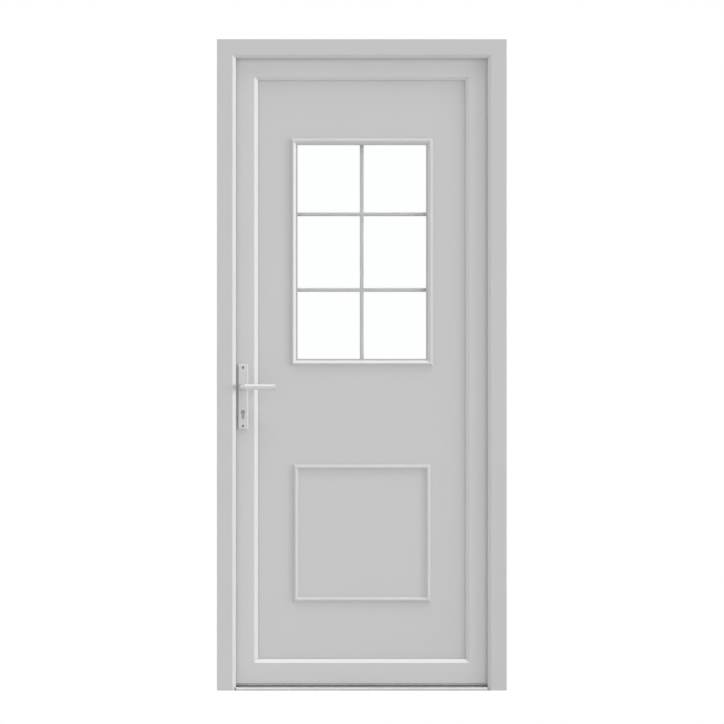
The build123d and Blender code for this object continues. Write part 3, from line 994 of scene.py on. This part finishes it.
class DOOR_OT_hinge_caps(bpy.types.Operator):
    """Adds the caps with a hexagon at both ends of each hinge."""

    bl_idname = "door.hinge_caps"
    bl_label = "Hinge caps"

    # Shares of the cap's radius and height
    crown_share = 0.82
    hexagon_share = 0.35
    depth_share = 0.8

    def execute(self, context):
        sizes = context.scene.door_fittings
        pin = joint_place("leaf_swing")
        places = []
        for place in HINGES:
            low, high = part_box(f"{place}_hinge_frame_half")
            places.append((Vector((pin.x, pin.y, low.z)), DOWN, 1.0))
            places.append((Vector((pin.x, pin.y, high.z)), UP, 1.0))
        inputs = {
            "Head Radius": sizes.cap_radius,
            "Crown Radius": self.crown_share * sizes.cap_radius,
            "Head Height": sizes.cap_height,
            "Drive Width": self.hexagon_share * sizes.cap_radius,
            "Drive Depth": self.depth_share * sizes.cap_height,
            "Hexagon": True,
            "Material": bpy.data.materials["handle_lacquer"],
        }
        points = placed_points("hinge_cap_points", places)
        tree = bpy.data.node_groups["Driven head"]
        grow("hinge_caps", points, tree, inputs, "frame")
        return {"FINISHED"}


class DOOR_OT_brush(bpy.types.Operator):
    """Adds the brush under the leaf."""

    bl_idname = "door.brush"
    bl_label = "Bottom brush"

    end_inset = 0.002
    row_shift = 0.0004
    seed = 7

    def execute(self, context):
        look = context.scene.door_finishes
        sizes = context.scene.door_fittings
        fibre = moulded_material(
            "brush_fibre", look.fibre, clouds=(300.0, 0.2), grain=(2500.0, 0.00001),
            gloss=(0.6, 0.2), edge_radius=look.fine_edge,
        )
        low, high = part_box("bottom_seal")
        lines = []
        for row in range(sizes.bristle_rows):
            y = low.y + (high.y - low.y) * (row + 0.5) / sizes.bristle_rows
            inset = self.end_inset + self.row_shift * row
            ends = Vector((low.x + inset, y, low.z)), Vector((high.x - inset, y, low.z))
            lines.append((*ends, DOWN))
        inputs = {
            "Length": sizes.bristle_length,
            "Radius": sizes.bristle_radius,
            "Pitch": sizes.bristle_pitch,
            "Seed": self.seed,
            "Material": fibre,
        }
        rows = placed_lines("brush_lines", lines)
        grow("bottom_brush", rows, bristle_tree(), inputs, "leaf")
        return {"FINISHED"}


class DOOR_OT_lever_collars(bpy.types.Operator):
    """Adds the rings round the levers' necks and the key plugs' rims."""

    bl_idname = "door.lever_collars"
    bl_label = "Collars and key plugs"

    neck_radius = 0.0098
    neck_gap = 0.0004

    # The collar's rounded edges, and half the width of the rim at its foot and top
    inner_edge = 0.0004
    outer_edge = 0.0012
    outer_foot = 0.0003
    outer_drop = 0.0009
    rim_foot = 0.0005
    rim_top = 0.0004
    rim_height = 0.0003

    def collar_profile(self, sizes):
        """The section of a collar, from its foot at the neck to its foot outside."""
        inner = self.neck_radius + self.neck_gap
        outer = inner + sizes.collar_width
        high = sizes.collar_height
        return (
            (inner, 0.0),
            (inner, high - self.inner_edge),
            (inner + self.inner_edge, high),
            (outer - self.outer_edge, high),
            (outer - self.outer_foot, high - self.outer_drop),
            (outer, 0.0),
        )

    def rim_profile(self, sizes):
        """The section of a key plug's low rim."""
        plug = sizes.plug_radius
        return (
            (plug - self.rim_foot, 0.0),
            (plug - self.rim_top, self.rim_height),
            (plug + self.rim_top, self.rim_height),
            (plug + self.rim_foot, 0.0),
        )

    def execute(self, context):
        sizes = context.scene.door_fittings
        neck = joint_place("lever_turn")
        key_low, key_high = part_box("lock_cylinder")
        key_z = key_high.z - (key_high.x - key_low.x) / 2
        collars = []
        rims = []
        for name, facing in HANDLE_FACES:
            plate_low, plate_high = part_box(name)
            face = plate_low.y if facing is OUTSIDE else plate_high.y
            end = key_low.y if facing is OUTSIDE else key_high.y
            collars.append((self.collar_profile(sizes), Vector((neck.x, face, neck.z)), facing))
            rims.append((self.rim_profile(sizes), Vector((neck.x, end, key_z)), facing))
        lacquer = bpy.data.materials["handle_lacquer"]
        nickel = bpy.data.materials["nickel"]
        collar_mesh = ring_mesh("lever_collars", collars)
        rim_mesh = ring_mesh("key_plug_rims", rims)
        place_piece("lever_collars", collar_mesh, "leaf", lacquer)
        place_piece("key_plug_rims", rim_mesh, "leaf", nickel)
        return {"FINISHED"}


class DOOR_OT_stage(bpy.types.Operator):
    """Adds the floor, the lights, the white background and the camera."""

    bl_idname = "door.stage"
    bl_label = "Studio"

    # Each light's name, the direction it comes from, and its spread in degrees
    lights = (
        ("side", (0.93, -0.36, 0.10), 24),
        ("top", (0.10, -0.30, 0.95), 20),
        ("front", (0.45, -0.70, 0.55), 30),
        ("fill", (-0.80, -0.60, 0.05), 60),
        ("back", (-0.76, 0.60, 0.25), 90),
    )
    lamp_distance = 3.0
    camera_distance = 4.0
    camera_reach = 100.0

    def floor(self, studio):
        """A plain pale floor that keeps the door's shadow."""
        material, tree, shader = new_material("pale_floor")
        place = add(tree, "ShaderNodeTexCoord").outputs["Object"]
        clouds = add(tree, "ShaderNodeTexNoise", {"Vector": place, "Scale": 3.0, "Detail": 2.0})
        rough = add(
            tree, "ShaderNodeMapRange",
            {"Value": clouds.outputs["Fac"], "To Min": 0.75, "To Max": 0.85},
        )
        wire(
            tree, shader,
            {
                "Base Color": (*studio.floor, 1),
                "Roughness": rough.outputs["Result"],
                "Specular IOR Level": 0.2,
            },
        )
        half = studio.floor_size / 2
        mesh = bpy.data.meshes.new("studio_floor")
        corners = [(-half, -half, 0), (half, -half, 0), (half, half, 0), (-half, half, 0)]
        mesh.from_pydata(corners, [], [(0, 1, 2, 3)])
        mesh.materials.append(material)
        floor = bpy.data.objects.new("studio_floor", mesh)
        bpy.context.scene.collection.objects.link(floor)

    def even_light(self, name, towards, power, spread):
        """A soft light that is the same all over the door. It comes from the direction towards."""
        data = bpy.data.lights.new(name, "SUN")
        data.energy = power
        data.angle = spread
        lamp = bpy.data.objects.new(name, data)
        lamp.location = towards * self.lamp_distance
        lamp.rotation_euler = towards.to_track_quat("Z", "Y").to_euler()
        bpy.context.scene.collection.objects.link(lamp)

    def background(self, studio):
        """White where the camera, a mirror or glass sees it, and softer as light."""
        world = bpy.data.worlds.new("studio_white")
        world.use_nodes = True
        tree = world.node_tree
        tree.nodes.clear()
        output = tree.nodes.new("ShaderNodeOutputWorld")
        white = (1, 1, 1, 1)
        soft = add(tree, "ShaderNodeBackground", {"Color": white, "Strength": studio.ambient})
        plain = add(tree, "ShaderNodeBackground", {"Color": white, "Strength": 1.0})
        path = add(tree, "ShaderNodeLightPath").outputs
        seen = add(
            tree, "ShaderNodeMath",
            {0: path["Is Camera Ray"], 1: path["Is Glossy Ray"]}, operation="MAXIMUM",
        )
        shown = add(
            tree, "ShaderNodeMath",
            {0: seen.outputs[0], 1: path["Is Transmission Ray"]}, operation="MAXIMUM",
        )
        mix = add(
            tree, "ShaderNodeMixShader",
            {0: shown.outputs[0], 1: soft.outputs["Background"], 2: plain.outputs["Background"]},
        )
        wire(tree, output, {"Surface": mix.outputs["Shader"]})
        bpy.context.scene.world = world

    def camera(self, studio):
        """A level view of the outside, without perspective, as in the photograph."""
        data = bpy.data.cameras.new("front_view")
        data.type = "ORTHO"
        data.ortho_scale = studio.view_size
        data.clip_end = self.camera_reach
        camera = bpy.data.objects.new("front_view", data)
        camera.location = (studio.view_x, -self.camera_distance, studio.view_z)
        camera.rotation_euler = (math.radians(90), 0, 0)
        bpy.context.scene.collection.objects.link(camera)
        bpy.context.scene.camera = camera

    def execute(self, context):
        studio = context.scene.door_studio
        self.floor(studio)
        self.background(studio)
        for name, towards, spread in self.lights:
            power = getattr(studio, name)
            self.even_light(f"{name}_light", Vector(towards), power, math.radians(spread))
        self.camera(studio)
        context.scene.view_settings.view_transform = "Standard"
        return {"FINISHED"}


class DOOR_PT_sidebar(bpy.types.Panel):
    """Lists the door's steps, and their sizes and colours."""

    bl_idname = "DOOR_PT_sidebar"
    bl_label = "Front Door"
    bl_space_type = "VIEW_3D"
    bl_region_type = "UI"
    bl_category = "Front Door"

    def draw(self, context):
        scene = context.scene
        for step in STEPS:
            self.layout.operator(step.bl_idname)
        for group in (scene.door_finishes, scene.door_fittings, scene.door_studio):
            box = self.layout.box()
            for name in group.__annotations__:
                box.prop(group, name)


GROUPS = (DoorFinishes, DoorFittings, DoorStudio)
STEPS = (
    DOOR_OT_plastic,
    DOOR_OT_glazing,
    DOOR_OT_hardware,
    DOOR_OT_screws,
    DOOR_OT_hinge_caps,
    DOOR_OT_brush,
    DOOR_OT_lever_collars,
    DOOR_OT_stage,
)


def register():
    for cls in GROUPS + STEPS + (DOOR_PT_sidebar,):
        bpy.utils.register_class(cls)
    bpy.types.Scene.door_finishes = PointerProperty(type=DoorFinishes)
    bpy.types.Scene.door_fittings = PointerProperty(type=DoorFittings)
    bpy.types.Scene.door_studio = PointerProperty(type=DoorStudio)


def unregister():
    del bpy.types.Scene.door_studio
    del bpy.types.Scene.door_fittings
    del bpy.types.Scene.door_finishes
    for cls in reversed(GROUPS + STEPS + (DOOR_PT_sidebar,)):
        bpy.utils.unregister_class(cls)


def main():
    register()
    bpy.ops.door.plastic()
    bpy.ops.door.glazing()
    bpy.ops.door.hardware()
    bpy.ops.door.screws()
    bpy.ops.door.hinge_caps()
    bpy.ops.door.brush()
    bpy.ops.door.lever_collars()
    bpy.ops.door.stage()


if __name__ == "__main__":
    main()
